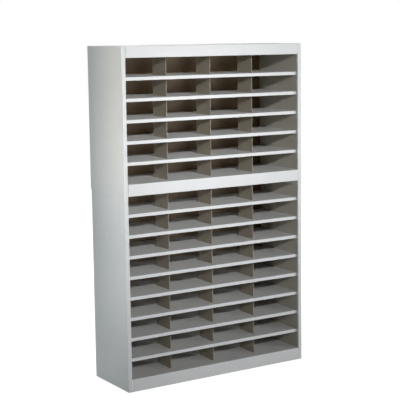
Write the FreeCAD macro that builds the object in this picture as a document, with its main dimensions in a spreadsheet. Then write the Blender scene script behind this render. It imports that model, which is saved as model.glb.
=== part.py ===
import FreeCAD, Part
import math
import os
import re
import Sketcher

# Pigeonhole sorter of folded sheet steel: a six-row upper unit bolted on a nine-row lower unit.
# Both share one plan: double-walled sides (a shell that is folded like a tray and a liner that
# closes it), folded pans between them, shelves that rest in the liners' slots by their tongues,
# dividers that stand in the shelves' slots by their tabs, and a hardboard back.
#
# Each piece is drawn in case coordinates: x from the left outer face, y from the front plane and
# z from the foot of its own unit, or from its own lower edge for a shelf or a divider. Its
# Placement then puts it in the part's frame, whose origin is the middle of the footprint on the
# floor, with the front at -Y and +Z up. Right-hand pieces mirror the left-hand ones.

COLUMNS = 4
SHELVES = {"lower": 8, "upper": 5}
BACK_SCREWS = {"lower": 3, "upper": 2}      # up each edge of a back
ROUND_SIDES = 8                             # facets of the small shanks and holes

SIZES = {
    # overall sizes of the case
    "case_width": 952.5,
    "case_depth": 323.85,
    "rear_setback": 6.35,       # the lower unit's back stands this far in front of the upper one's
    "wall_depth": 19.05,        # double wall, and so the width of the flanges that frame the front
    # sheet stock and folds
    "case_sheet": 0.9,
    "shelf_sheet": 0.8,
    "board_thick": 3.2,
    "bend_radius": 1.5,         # inside radius of a fold
    "fit_gap": 0.3,             # clearance wherever one piece seats on or slips into another
    "lip_depth": 12.0,          # return of the shell's front flange, which covers the liner's edge
    "pan_return": 25.0,         # returns under the base pans, wide enough for the joining bolts
    "edge_return": 14.0,        # return of the header and upturned flanges of the ceiling
    "hem_depth": 8.0,           # doubled front edge of a divider and of the lid
    "end_flange": 24.0,         # flanges by which the pans are screwed to the liners
    "rear_flange": 19.0,        # flange of the cap that frames the back along the top
    # heights, from the floor up
    "plinth_height": 57.15,
    "lower_first_gap": 76.2,    # clear height of the lower unit's bottom row
    "upper_first_gap": 79.75,   # clear height of the upper unit's bottom row
    "row_pitch": 92.2,
    "top_gap": 82.55,           # clear height of each unit's top row
    "band_height": 50.8,
    "header_height": 50.8,
    # shelves
    "shelf_front": 15.0,        # height of a shelf's front edge
    "shelf_setback": 4.0,       # front edge of a shelf behind the shells' lips
    "shelf_return": 8.0,        # return under the front edge
    "shelf_flange": 10.0,       # rear and end flanges of a shelf
    "tongue_width": 16.0,       # end tongues that rest in the liners' slots
    "tongue_reach": 6.0,
    "tongue_inset": 30.0,       # from the shelf's front and rear edges to its tongues
    "slot_play": 0.35,          # clearance round a tongue or tab in its slot
    # dividers
    "divider_setback": 35.0,    # front edge of a divider behind the shelf's front edge
    "divider_depth": 119.0,
    "tab_width": 12.0,
    "tab_inset": 14.0,          # foot tab from the divider's front edge, head tab from its rear one
    # fasteners
    "screw_play": 0.3,          # clearance round a screw or bolt in its hole
    "screw_shank": 3.6,
    "screw_head": 8.0,
    "head_height": 1.6,
    "screw_length": 9.0,
    "screw_inset": 60.0,        # pan screws from the front plane and from the back
    "back_screw_inset": 70.0,   # back screws from the foot and head of their unit
    "bolt_shank": 3.5,
    "bolt_head": 8.0,           # across the corners of the hexagon
    "bolt_head_height": 2.4,
    "bolt_length": 8.0,
    "nut_height": 2.8,
    "bolt_inset": 90.0,         # joining bolts from the ends of the pans
}

# Sizes that follow from the driving ones.
DERIVED = {
    "lower_depth": "case_depth - rear_setback",
    "upper_depth": "case_depth",
    "overall_depth": "case_depth + head_height",
    "lower_base": "plinth_height",
    "upper_base": "band_height",
    "lower_first_deck": "lower_base + lower_first_gap + shelf_front",
    "upper_first_deck": "upper_base + upper_first_gap + shelf_front",
    "lower_height": f"lower_first_deck + {SHELVES['lower'] - 1} * row_pitch + top_gap",
    "ceiling_level": f"upper_first_deck + {SHELVES['upper'] - 1} * row_pitch + top_gap",
    "upper_height": "ceiling_level + header_height",
    "outer_bend": "bend_radius + case_sheet",
    # across the case, from the outside in
    "cavity_edge": "case_sheet + fit_gap",
    "web_inner": "wall_depth - cavity_edge",
    "web_outer": "web_inner - case_sheet",
    "span_left": "web_inner + fit_gap",
    "span_length": "case_width - 2 * span_left",
    "face_left": "wall_depth + fit_gap",
    # towards the back
    "shelf_recess": "lip_depth + shelf_setback",
    "lower_board_front": "lower_depth - cavity_edge - board_thick",
    "upper_board_front": "upper_depth - cavity_edge - board_thick",
    "lower_rear": "lower_board_front - fit_gap",
    "upper_rear": "upper_board_front - fit_gap",
    # ceiling of the upper unit, on the header's return
    "ceiling_foot": "ceiling_level + cavity_edge",
    # dividers and their tabs, in line with the case's middle
    "column_pitch": f"(case_width - 2 * web_inner) / {COLUMNS}",
    "first_divider": "web_inner + column_pitch - shelf_sheet / 2",
    "divider_front": "shelf_recess + divider_setback",
    "divider_rear": "divider_front + divider_depth",
    "tab_length": "fit_gap + shelf_sheet",
    "foot_tab": "divider_front + tab_inset",
    "head_tab": "divider_rear - tab_inset - tab_width",
    # fasteners
    "screw_hole": "screw_shank + 2 * screw_play",
    "bolt_hole": "bolt_shank + 2 * screw_play",
    "nut_bore": "bolt_shank + screw_play",
    "front_joint": "(hem_depth + pan_return) / 2",
    "rear_joint": "(upper_rear - pan_return + lower_rear) / 2",
}

PLANES = {"X": "YZ_Plane", "Y": "XZ_Plane", "Z": "XY_Plane"}
MIDDLE = "case_width / 2"
HEXAGON = 6

doc = FreeCAD.newDocument("pigeonhole_sorter")
sizes = doc.addObject("Spreadsheet::Sheet", "Sizes")


# Sheet and formulas

def fill_sheet():
    """Write every driving size into the sheet, beside its name."""
    for row, (name, number) in enumerate(SIZES.items(), start=1):
        sizes.set(f"A{row}", name)
        sizes.set(f"B{row}", str(number))
        sizes.setAlias(f"B{row}", name)
    doc.recompute()


def formula(text):
    """Spell out derived names, and point driving names at their cells."""
    def spell(match):
        name = match.group()
        if name in DERIVED:
            return f"({formula(DERIVED[name])})"
        return f"Sizes.{name}" if name in SIZES else name
    return re.sub(r"[A-Za-z_][A-Za-z_0-9]*", spell, text)


def value(text):
    """Number that a formula comes to now."""
    return float(sizes.evalExpression(formula(text)))


def bind(thing, prop, text):
    """Tie a property to a formula of the sheet's sizes."""
    thing.setExpression(prop, formula(text))


# Sketches and features

def origin_feature(body, role):
    """Origin plane or axis of a body."""
    return next(item for item in body.Origin.OriginFeatures if item.Role == role)


def new_body(label):
    """Empty body for one piece, or for a group of like pieces."""
    body = doc.addObject("PartDesign::Body", label)
    body.Label = label
    body.AllowCompound = True
    return body


def box(x, y, width, height):
    """Corners of an upright rectangle, as formulas."""
    right, top = f"{x} + {width}", f"{y} + {height}"
    return [(x, y), (right, y), (right, top), (x, top)]


def polygon(x, y, width, sides=ROUND_SIDES):
    """Corners of a regular polygon, given its width across corners, as formulas."""
    turns = [2 * math.pi * (corner + 0.5) / sides for corner in range(sides)]
    return [(f"{x} + {math.cos(turn):.6f} * {width} / 2", f"{y} + {math.sin(turn):.6f} * {width} / 2")
            for turn in turns]


def dimension(sketch, dimensions):
    """Add named dimensions, each a label, a formula and what it measures."""
    constraints = []
    for label, text, *measured in dimensions:
        constraint = Sketcher.Constraint(*measured, value(text))
        constraint.Name = label
        constraints.append(constraint)
    sketch.addConstraint(constraints)
    for label, text, *measured in dimensions:
        bind(sketch, f"Constraints.{label}", text)


def draw_outline(sketch, corners):
    """Closed outline, each corner dimensioned from the sketch's origin."""
    first = sketch.GeometryCount
    points = [FreeCAD.Vector(value(x), value(y), 0) for x, y in corners]
    lines = [Part.LineSegment(start, end) for start, end in zip(points, points[1:] + points[:1])]
    sketch.addGeometry(lines, False)
    joints, dimensions = [], []
    for index, (x, y) in enumerate(corners):
        line = first + index
        following = first + (index + 1) % len(corners)
        joints.append(Sketcher.Constraint("Coincident", line, 2, following, 1))
        dimensions.append((f"x{line}", x, "DistanceX", -1, 1, line, 1))
        dimensions.append((f"y{line}", y, "DistanceY", -1, 1, line, 1))
    sketch.addConstraint(joints)
    dimension(sketch, dimensions)


def new_sketch(body, name, axis, level, outlines):
    """Sketch of closed outlines, square to an axis at a level."""
    sketch = body.newObject("Sketcher::SketchObject", name)
    sketch.AttachmentSupport = (origin_feature(body, PLANES[axis]), [""])
    sketch.MapMode = "FlatFace"
    bind(sketch, "AttachmentOffset.Base.z", f"-({level})" if axis == "Y" else level)
    for outline in outlines:
        draw_outline(sketch, outline)
    return sketch


def pad(body, name, axis, level, length, *outlines):
    """Add material: outlines square to an axis, from a level on for a length."""
    feature = body.newObject("PartDesign::Pad", name)
    feature.Profile = new_sketch(body, name + "_sketch", axis, level, outlines)
    feature.Reversed = axis == "Y"
    bind(feature, "Length", length)
    return feature


def pierce(body, name, axis, level, thickness, *outlines):
    """Cut outlines square to an axis through a wall, which starts at a level and is so thick."""
    feature = body.newObject("PartDesign::Pocket", name)
    feature.Profile = new_sketch(body, name + "_sketch", axis, f"{level} - {thickness}", outlines)
    feature.Reversed = axis != "Y"
    bind(feature, "Length", f"3 * ({thickness})")
    return feature


def repeat(body, name, axis, spacing, count, *features):
    """Copy features along an axis."""
    pattern = body.newObject("PartDesign::LinearPattern", name)
    pattern.Originals = list(features)
    pattern.Direction = (origin_feature(body, axis + "_Axis"), [""])
    pattern.Mode = "Spacing"
    pattern.Occurrences = count
    bind(pattern, "Offset", spacing)
    body.Tip = pattern
    return pattern


def soften(body, name, radius, *spots):
    """Round edges to a radius; each edge is given by a point that lies on it alone."""
    doc.recompute()
    base = body.Tip
    points = [Part.Vertex(*[value(number) for number in spot]) for spot in spots]
    picked = [f"Edge{number}" for number, edge in enumerate(base.Shape.Edges, start=1)
              if any(edge.distToShape(point)[0] < Part.Precision.confusion() for point in points)]
    if len(picked) != len(spots):
        raise RuntimeError(f"{body.Label}: {name} finds {len(picked)} edges of {len(spots)}")
    feature = body.newObject("PartDesign::Fillet", name)
    feature.Base = (base, picked)
    bind(feature, "Radius", radius)
    return feature


def place(piece, foot="0"):
    """Put a piece in the part's frame, at the level of its own foot."""
    bind(piece, "Placement.Base.x", "-case_width / 2")
    bind(piece, "Placement.Base.y", "-overall_depth / 2")
    bind(piece, "Placement.Base.z", foot)
    return piece


def twin(source):
    """Right-hand twin of a left-hand piece."""
    label = source.Label.replace("left", "right")
    mirrored = doc.addObject("Part::Mirroring", label)
    mirrored.Source = source
    mirrored.Normal = (1, 0, 0)
    mirrored.Label = label
    return mirrored


# Places that several pieces share

def unit_foot(unit):
    """Level that a unit stands on."""
    return "0" if unit == "lower" else "lower_height"


def divider_slots(body, level, sheet, *tabs):
    """Slots for the dividers' tabs, through a deck whose underside is at a level."""
    left, width = "first_divider - slot_play", "shelf_sheet + 2 * slot_play"
    outlines = [box(left, f"{tab} - slot_play", width, "tab_width + 2 * slot_play") for tab in tabs]
    slots = pierce(body, "tab_slots", "Z", level, sheet, *outlines)
    repeat(body, "tab_slot_columns", "X", "column_pitch", COLUMNS - 1, slots)


def pan_screw_levels(unit):
    """Heights of the screws that hold the ends of a unit's pans."""
    levels = [f"{unit}_base - end_flange / 2", f"{unit}_height - end_flange / 2"]
    return levels if unit == "lower" else levels + ["ceiling_foot + edge_return / 2"]


def pan_screw_outlines(unit, levels, width):
    """Pan screws in side view: two at each level, near the front and near the back."""
    return [polygon(y, z, width) for z in levels for y in ("screw_inset", f"{unit}_depth - screw_inset")]


def back_screw_outlines(width):
    """Lowest back screws, seen from the front: one at each side, midway across the wall."""
    return [polygon(x, "back_screw_inset", width) for x in ("wall_depth / 2", "case_width - wall_depth / 2")]


def back_screw_rows(body, unit, *features):
    """Repeat the lowest back screws, or their holes, up the back."""
    pitch = f"({unit}_height - 2 * back_screw_inset) / {BACK_SCREWS[unit] - 1}"
    repeat(body, "back_screw_rows", "Z", pitch, BACK_SCREWS[unit], *features)


def joint_outlines(width, sides=ROUND_SIDES):
    """Joining bolts in plan, through the returns of the upper base pan."""
    across = ("span_left + bolt_inset", "span_left + span_length - bolt_inset")
    return [polygon(x, y, width, sides) for x in across for y in ("front_joint", "rear_joint")]


# Sides

def side_shell(unit):
    """Outer side sheet, with a flange folded in along each edge and a lip behind the front one."""
    depth, height, middle = f"{unit}_depth", f"{unit}_height", f"{unit}_height / 2"
    sheet, wall, inside = "case_sheet", "wall_depth", "wall_depth - case_sheet"
    body = new_body(f"{unit}_left_shell")
    plan = [("0", "0"), (wall, "0"), (wall, "lip_depth"), (inside, "lip_depth"), (inside, sheet),
            (sheet, sheet), (sheet, f"{depth} - {sheet}"), (wall, f"{depth} - {sheet}"), (wall, depth),
            ("0", depth)]
    pad(body, "side_sheet", "Z", "0", height, plan)
    flange = [("0", "0"), (wall, "0"), (wall, "lip_depth"), ("web_inner", "lip_depth"),
              ("web_inner", depth), ("0", depth)]
    pad(body, "foot_flange", "Z", "0", sheet, flange)
    pad(body, "head_flange", "Z", f"{height} - {sheet}", sheet, flange)
    soften(body, "inner_folds", "bend_radius", (sheet, sheet, middle), (inside, sheet, middle),
           (sheet, f"{depth} - {sheet}", middle))
    soften(body, "outer_folds", "outer_bend", ("0", "0", middle), (wall, "0", middle),
           ("0", depth, middle), ("0", f"{depth} / 2", "0"), ("0", f"{depth} / 2", height))
    left_outline = back_screw_outlines("screw_hole")[0]
    hole = pierce(body, "back_screw_hole", "Y", f"{depth} - {sheet}", sheet, left_outline)
    back_screw_rows(body, unit, hole)
    return place(body, unit_foot(unit))


def side_liner(unit):
    """Inner wall: it tucks in behind the shell's lip and turns outwards along the back."""
    rear, height, sheet = f"{unit}_rear", f"{unit}_height", "case_sheet"
    body = new_body(f"{unit}_left_liner")
    plan = [("web_outer", "outer_bend"), ("web_inner", "outer_bend"), ("web_inner", rear),
            ("cavity_edge", rear), ("cavity_edge", f"{rear} - {sheet}"), ("web_outer", f"{rear} - {sheet}")]
    pad(body, "web", "Z", "cavity_edge", f"{height} - 2 * cavity_edge", plan)
    slot_foot = f"{unit}_first_deck - shelf_sheet - slot_play"
    slot_size = ("tongue_width + 2 * slot_play", "shelf_sheet + 2 * slot_play")
    slots = pierce(body, "tongue_slots", "X", "web_outer", sheet,
                   box("shelf_recess + tongue_inset - slot_play", slot_foot, *slot_size),
                   box(f"{rear} - tongue_inset - tongue_width - slot_play", slot_foot, *slot_size))
    repeat(body, "tongue_slot_rows", "Z", "row_pitch", SHELVES[unit], slots)
    pierce(body, "pan_screw_holes", "X", "web_outer", sheet,
           *pan_screw_outlines(unit, pan_screw_levels(unit), "screw_hole"))
    left_outline = back_screw_outlines("screw_hole")[0]
    hole = pierce(body, "back_screw_hole", "Y", f"{rear} - {sheet}", sheet, left_outline)
    back_screw_rows(body, unit, hole)
    return place(body, unit_foot(unit))


# Pans between the sides

def end_flanges(body, unit, foot, height, screw_level):
    """Flanges at both ends of a pan, each drilled for two screws."""
    flange = pad(body, "end_flange", "X", "span_left", "case_sheet",
                 box("pan_return", foot, f"{unit}_rear - 2 * pan_return", height))
    holes = pierce(body, "end_holes", "X", "span_left", "case_sheet",
                   *pan_screw_outlines(unit, [screw_level], "screw_hole"))
    repeat(body, "end_flange_pair", "X", "span_length - case_sheet", 2, flange, holes)


def clear_lips(body, unit):
    """Notch the front corners of a pan round the lips of the shells."""
    notch = box("web_inner", "-fit_gap", "face_left - web_inner", "lip_depth + 2 * fit_gap")
    corner = pierce(body, "lip_notch", "Z", "0", f"{unit}_height", notch)
    repeat(body, "lip_notch_pair", "X", "case_width - face_left - web_inner", 2, corner)


def base_pan(unit):
    """Box section under the bottom row: front face, deck, rear flange and two returns below."""
    rear, height, sheet, reach = f"{unit}_rear", f"{unit}_base", "case_sheet", "pan_return"
    body = new_body(f"{unit}_base_pan")
    side = [("0", "0"), (reach, "0"), (reach, sheet), (sheet, sheet), (sheet, f"{height} - {sheet}"),
            (f"{rear} - {sheet}", f"{height} - {sheet}"), (f"{rear} - {sheet}", sheet),
            (f"{rear} - {reach}", sheet), (f"{rear} - {reach}", "0"), (rear, "0"), (rear, height),
            ("0", height)]
    pad(body, "folded_sheet", "X", "span_left", "span_length", side)
    flange_foot, flange_middle = f"{height} - end_flange", f"{height} - end_flange / 2"
    end_flanges(body, unit, flange_foot, f"end_flange - {sheet}", flange_middle)
    soften(body, "inner_fold", "bend_radius", (MIDDLE, sheet, f"{height} - {sheet}"))
    soften(body, "outer_folds", "outer_bend", (MIDDLE, "0", height), (MIDDLE, rear, height))
    clear_lips(body, unit)
    divider_slots(body, f"{height} - {sheet}", sheet, "foot_tab")
    if unit == "upper":
        pierce(body, "joint_holes", "Z", "0", sheet, *joint_outlines("bolt_hole"))
    return place(body, unit_foot(unit))


def lid():
    """Top of the lower unit: hemmed in front, flanged at the ends and flat along the back."""
    rear, top, sheet = "lower_rear", "lower_height", "case_sheet"
    body = new_body("lower_lid")
    side = [("0", f"{top} - 2 * {sheet}"), ("hem_depth", f"{top} - 2 * {sheet}"),
            ("hem_depth", f"{top} - {sheet}"), (rear, f"{top} - {sheet}"), (rear, top), ("0", top)]
    pad(body, "folded_sheet", "X", "span_left", "span_length", side)
    end_flanges(body, "lower", f"{top} - end_flange", f"end_flange - {sheet}", f"{top} - end_flange / 2")
    soften(body, "hem_folds", f"{sheet} / 2", (MIDDLE, "0", f"{top} - 2 * {sheet}"), (MIDDLE, "0", top))
    clear_lips(body, "lower")
    divider_slots(body, f"{top} - {sheet}", sheet, "head_tab")
    pierce(body, "joint_holes", "Z", f"{top} - {sheet}", sheet, *joint_outlines("bolt_hole"))
    return place(body)


def cap():
    """Top sheet with the header folded down in front and a flange that frames the back."""
    depth, top, foot, sheet = "upper_depth", "upper_height", "ceiling_level", "case_sheet"
    body = new_body("upper_cap")
    side = [("0", foot), ("edge_return", foot), ("edge_return", f"{foot} + {sheet}"),
            (sheet, f"{foot} + {sheet}"), (sheet, f"{top} - {sheet}"),
            (f"{depth} - {sheet}", f"{top} - {sheet}"), (f"{depth} - {sheet}", f"{top} - rear_flange"),
            (depth, f"{top} - rear_flange"), (depth, top), ("0", top)]
    pad(body, "folded_sheet", "X", "span_left", "span_length", side)
    end_flanges(body, "upper", f"{top} - end_flange", f"end_flange - {sheet}", f"{top} - end_flange / 2")
    soften(body, "inner_folds", "bend_radius", (MIDDLE, sheet, f"{foot} + {sheet}"),
           (MIDDLE, sheet, f"{top} - {sheet}"), (MIDDLE, f"{depth} - {sheet}", f"{top} - {sheet}"))
    soften(body, "outer_folds", "outer_bend", (MIDDLE, "0", foot), (MIDDLE, "0", top), (MIDDLE, depth, top))
    clear_lips(body, "upper")
    notch = box("web_inner", f"{depth} - cavity_edge", "face_left - web_inner", "2 * cavity_edge")
    corner = pierce(body, "rear_notch", "Z", "0", "upper_height", notch)
    repeat(body, "rear_notch_pair", "X", "case_width - face_left - web_inner", 2, corner)
    return place(body, unit_foot("upper"))


def ceiling():
    """Tray over the top row: it lies on the header's return, with its flanges turned up."""
    front, rear, foot, sheet = "outer_bend", "upper_rear", "ceiling_foot", "case_sheet"
    flange_top = f"{foot} + edge_return"
    body = new_body("upper_ceiling")
    side = [(front, foot), (rear, foot), (rear, flange_top), (f"{rear} - {sheet}", flange_top),
            (f"{rear} - {sheet}", f"{foot} + {sheet}"), (f"{front} + {sheet}", f"{foot} + {sheet}"),
            (f"{front} + {sheet}", flange_top), (front, flange_top)]
    pad(body, "folded_sheet", "X", "span_left", "span_length", side)
    end_flanges(body, "upper", f"{foot} + {sheet}", f"edge_return - {sheet}", f"{foot} + edge_return / 2")
    clear_lips(body, "upper")
    divider_slots(body, foot, sheet, "head_tab")
    return place(body, unit_foot("upper"))


# Shelves and dividers

def shelf(unit, number):
    """Pan-shaped shelf: folded front edge, flanged back and ends, and two tongues at each end."""
    front, rear, sheet, top = "shelf_recess", f"{unit}_rear", "shelf_sheet", "shelf_front"
    body = new_body(f"{unit}_shelf_{number}")
    side = [(front, "0"), (f"{front} + shelf_return", "0"), (f"{front} + shelf_return", sheet),
            (f"{front} + {sheet}", sheet), (f"{front} + {sheet}", f"{top} - {sheet}"),
            (f"{rear} - {sheet}", f"{top} - {sheet}"), (f"{rear} - {sheet}", f"{top} - shelf_flange"),
            (rear, f"{top} - shelf_flange"), (rear, top), (front, top)]
    pad(body, "folded_sheet", "X", "span_left", "span_length", side)
    flange = pad(body, "end_flange", "X", "span_left", sheet,
                 box(f"{front} + {sheet}", f"{top} - shelf_flange", f"{rear} - {front} - 2 * {sheet}",
                     f"shelf_flange - {sheet}"))
    repeat(body, "end_flange_pair", "X", f"span_length - {sheet}", 2, flange)
    reach = "fit_gap + case_sheet + tongue_reach"
    tip = f"span_left - ({reach})"
    tongues = pad(body, "tongues", "Z", f"{top} - {sheet}", sheet,
                  box(tip, f"{front} + tongue_inset", reach, "tongue_width"),
                  box(tip, f"{rear} - tongue_inset - tongue_width", reach, "tongue_width"))
    repeat(body, "tongue_pair", "X", f"span_length + {reach}", 2, tongues)
    soften(body, "front_folds", sheet, (MIDDLE, front, top), (MIDDLE, front, "0"))
    divider_slots(body, f"{top} - {sheet}", sheet, "foot_tab", "head_tab")
    deck = f"{unit}_first_deck + {number - 1} * row_pitch"
    return place(body, f"{unit_foot(unit)} + {deck} - {top}")


def divider_row(unit, number, deck, height):
    """Dividers of one row: a tab at the foot, one at the head, and a doubled front edge."""
    front, rear = "divider_front", "divider_rear"
    foot_end, head_end = "foot_tab + tab_width", "head_tab + tab_width"
    body = new_body(f"{unit}_dividers_{number}")
    side = [(front, "0"), ("foot_tab", "0"), ("foot_tab", "-tab_length"), (foot_end, "-tab_length"),
            (foot_end, "0"), (rear, "0"), (rear, height), (head_end, height),
            (head_end, f"{height} + tab_length"), ("head_tab", f"{height} + tab_length"),
            ("head_tab", height), (front, height)]
    blade = pad(body, "blade", "X", "first_divider", "shelf_sheet", side)
    hem = pad(body, "hem", "X", "first_divider + shelf_sheet", "shelf_sheet",
              box(front, "0", "hem_depth", height))
    repeat(body, "columns", "X", "column_pitch", COLUMNS - 1, blade, hem)
    return place(body, f"{unit_foot(unit)} + {deck} + fit_gap")


def divider_rows(unit):
    """Every divider row of a unit, from the base pan's deck up to the lid or ceiling."""
    rows = SHELVES[unit] + 1
    under_shelf = "shelf_sheet + 2 * fit_gap"
    under_top = "case_sheet + 2 * fit_gap" if unit == "lower" else "2 * fit_gap - cavity_edge"
    dividers = [divider_row(unit, 1, f"{unit}_base", f"{unit}_first_gap + shelf_front - ({under_shelf})")]
    for number in range(2, rows):
        deck = f"{unit}_first_deck + {number - 2} * row_pitch"
        dividers.append(divider_row(unit, number, deck, f"row_pitch - ({under_shelf})"))
    deck = f"{unit}_first_deck + {rows - 2} * row_pitch"
    dividers.append(divider_row(unit, rows, deck, f"top_gap - ({under_top})"))
    return dividers


# Back and fasteners

def back(unit):
    """Hardboard back inside the rear flanges, drilled for its screws."""
    front, height, inset = f"{unit}_board_front", f"{unit}_height", "outer_bend"
    body = new_body(f"{unit}_back")
    pad(body, "board", "Y", front, "board_thick",
        box(inset, inset, f"case_width - 2 * {inset}", f"{height} - 2 * {inset}"))
    holes = pierce(body, "screw_holes", "Y", front, "board_thick", *back_screw_outlines("screw_hole"))
    back_screw_rows(body, unit, holes)
    return place(body, unit_foot(unit))


def back_screws(unit):
    """Screws through the shells' rear flanges, the back and the liners."""
    face = f"{unit}_depth"
    body = new_body(f"{unit}_back_screws")
    shanks = pad(body, "shanks", "Y", f"{face} - screw_length", "screw_length",
                 *back_screw_outlines("screw_shank"))
    heads = pad(body, "heads", "Y", face, "head_height", *back_screw_outlines("screw_head"))
    back_screw_rows(body, unit, shanks, heads)
    return place(body, unit_foot(unit))


def pan_screws(unit):
    """Screws from inside the pans through their end flanges and the liners."""
    levels, seat = pan_screw_levels(unit), "span_left + case_sheet"
    left = new_body(f"{unit}_left_pan_screws")
    pad(left, "shanks", "X", f"{seat} - screw_length", "screw_length",
        *pan_screw_outlines(unit, levels, "screw_shank"))
    pad(left, "heads", "X", seat, "head_height", *pan_screw_outlines(unit, levels, "screw_head"))
    place(left, unit_foot(unit))
    both = doc.addObject("Part::Compound", f"{unit}_pan_screws")
    both.Links = [left, twin(left)]
    both.Label = f"{unit}_pan_screws"
    return both


def joining_bolts():
    """Bolts up through the lower unit's lid and the upper base pan's returns."""
    underside = "lower_height - case_sheet"
    body = new_body("joining_bolts")
    pad(body, "heads", "Z", f"{underside} - bolt_head_height", "bolt_head_height",
        *joint_outlines("bolt_head", HEXAGON))
    pad(body, "shanks", "Z", underside, "bolt_length", *joint_outlines("bolt_shank"))
    return place(body)


def joining_nuts():
    """Nuts on the joining bolts, seated on the upper base pan's returns."""
    seat = "lower_height + case_sheet"
    body = new_body("joining_nuts")
    pad(body, "nuts", "Z", seat, "nut_height", *joint_outlines("bolt_head", HEXAGON))
    pierce(body, "bores", "Z", seat, "nut_height", *joint_outlines("nut_bore"))
    return place(body)


# Assembly and export

def unit_pieces(unit):
    """Every piece that both units have."""
    shell, liner = side_shell(unit), side_liner(unit)
    pieces = [shell, twin(shell), liner, twin(liner), base_pan(unit)]
    pieces += [shelf(unit, number) for number in range(1, SHELVES[unit] + 1)]
    pieces += divider_rows(unit)
    return pieces + [back(unit), back_screws(unit), pan_screws(unit)]


def check(pieces):
    """Stop if anything failed to compute, if a cut removed nothing or if a piece has no valid shape."""
    for item in doc.Objects:
        if "Invalid" in item.State or "Error" in item.State:
            raise RuntimeError(f"{item.Label} is {item.State}")
        if item.TypeId == "PartDesign::Pocket" and not item.Shape.Volume < item.BaseFeature.Shape.Volume:
            raise RuntimeError(f"{item.Label} cuts nothing")
    for piece in pieces:
        if piece.Shape.isNull() or not piece.Shape.isValid():
            raise RuntimeError(f"{piece.Label} has no valid shape")


def export(pieces):
    """Write one STEP file for each piece."""
    os.makedirs("parts", exist_ok=True)
    for piece in pieces:
        piece.Shape.exportStep(os.path.join("parts", f"{piece.Label}.step"))
        print(f"{piece.Label}: {len(piece.Shape.Solids)} solids, {piece.Shape.Volume:.0f} mm3")
    print(f"{len(pieces)} nodes")


fill_sheet()
nodes = unit_pieces("lower") + [lid()]
nodes += unit_pieces("upper") + [cap(), ceiling(), joining_bolts(), joining_nuts()]
doc.recompute()
check(nodes)
export(nodes)
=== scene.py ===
import math

import bpy
from mathutils import Matrix, Vector


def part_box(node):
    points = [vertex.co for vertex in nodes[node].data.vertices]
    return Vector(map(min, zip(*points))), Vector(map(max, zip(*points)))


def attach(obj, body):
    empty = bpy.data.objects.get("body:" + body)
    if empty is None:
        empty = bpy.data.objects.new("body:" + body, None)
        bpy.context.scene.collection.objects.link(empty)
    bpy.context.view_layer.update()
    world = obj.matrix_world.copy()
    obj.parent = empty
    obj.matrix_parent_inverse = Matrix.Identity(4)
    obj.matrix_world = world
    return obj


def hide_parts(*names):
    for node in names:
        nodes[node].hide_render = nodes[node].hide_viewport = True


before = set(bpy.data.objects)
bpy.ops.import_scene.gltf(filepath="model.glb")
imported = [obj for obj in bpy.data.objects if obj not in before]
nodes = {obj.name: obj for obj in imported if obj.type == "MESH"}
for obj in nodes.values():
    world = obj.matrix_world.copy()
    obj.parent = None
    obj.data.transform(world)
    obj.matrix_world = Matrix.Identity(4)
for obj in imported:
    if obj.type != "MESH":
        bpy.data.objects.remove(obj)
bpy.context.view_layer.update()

bl_info = {
    "name": "Pigeonhole Sorter Finish",
    "version": (1, 0, 0),
    "blender": (4, 5, 0),
    "location": "3D View > Sidebar > Sorter",
    "description": "Coats the steel sorter, details its fasteners and sets it in a plain studio",
    "category": "Object",
}

MM = 0.001
BODY = "root"
UNITS = ("lower", "upper")
NEAR = 0.01 * MM                            # places nearer than this are the same
SMOOTH_ANGLE = math.radians(35.0)           # folds sharper than this stay crisp
SENSOR_WIDTH = 36.0                         # of the camera, in millimetres
FAR_CLIP = 100.0

# Fasteners: these lengths are shares of the head's width and height, of the shank's width,
# or of the recess's mouth
HEXAGON = 6
LATHE_SIDES = 48
SCREW_TURN = 2.4                            # each screw stops this much further round than the last
PAN_HEAD = ((0.5, 0.35), (0.46, 0.62), (0.36, 0.87), (0.24, 1.0))  # each a radius and a height
SCREW_CORE = 0.42                           # radius under a screw's thread
SCREW_POINT = 0.7                           # length of a screw's point
BOLT_CORE = 0.43                            # radius under a bolt's thread
THREAD_ROOT = 0.40                          # radius where a thread's ridge starts, inside the core
RECESS_FLOOR = (0.45, 0.7, 1.0)

# Tints of the coat, those of the liners and dividers darker and warmer as painted shade, and how
# deep the sheets under it wave
NO_TINT = (1.0, 1.0, 1.0)
LINER_PAINTED_SHADE = (0.84, 0.79, 0.69)
DIVIDER_PAINTED_SHADE = (0.60, 0.53, 0.42)
STIFF_WAVE = 0.15 * MM
SHEET_WAVE = 0.2 * MM
WIDE_WAVE = 0.35 * MM

# Colours of the light
WHITE = (1.0, 1.0, 1.0, 1.0)
PLAIN = (0.965, 0.98, 1.0)
WARM = (1.0, 0.92, 0.78)
COOL = (0.82, 0.94, 1.0)

# Lamps
NARROW_SPREAD = 14.0
WIDE_SPREAD = 180.0
EDGE_STRIP = (0.06, 0.8)

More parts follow.
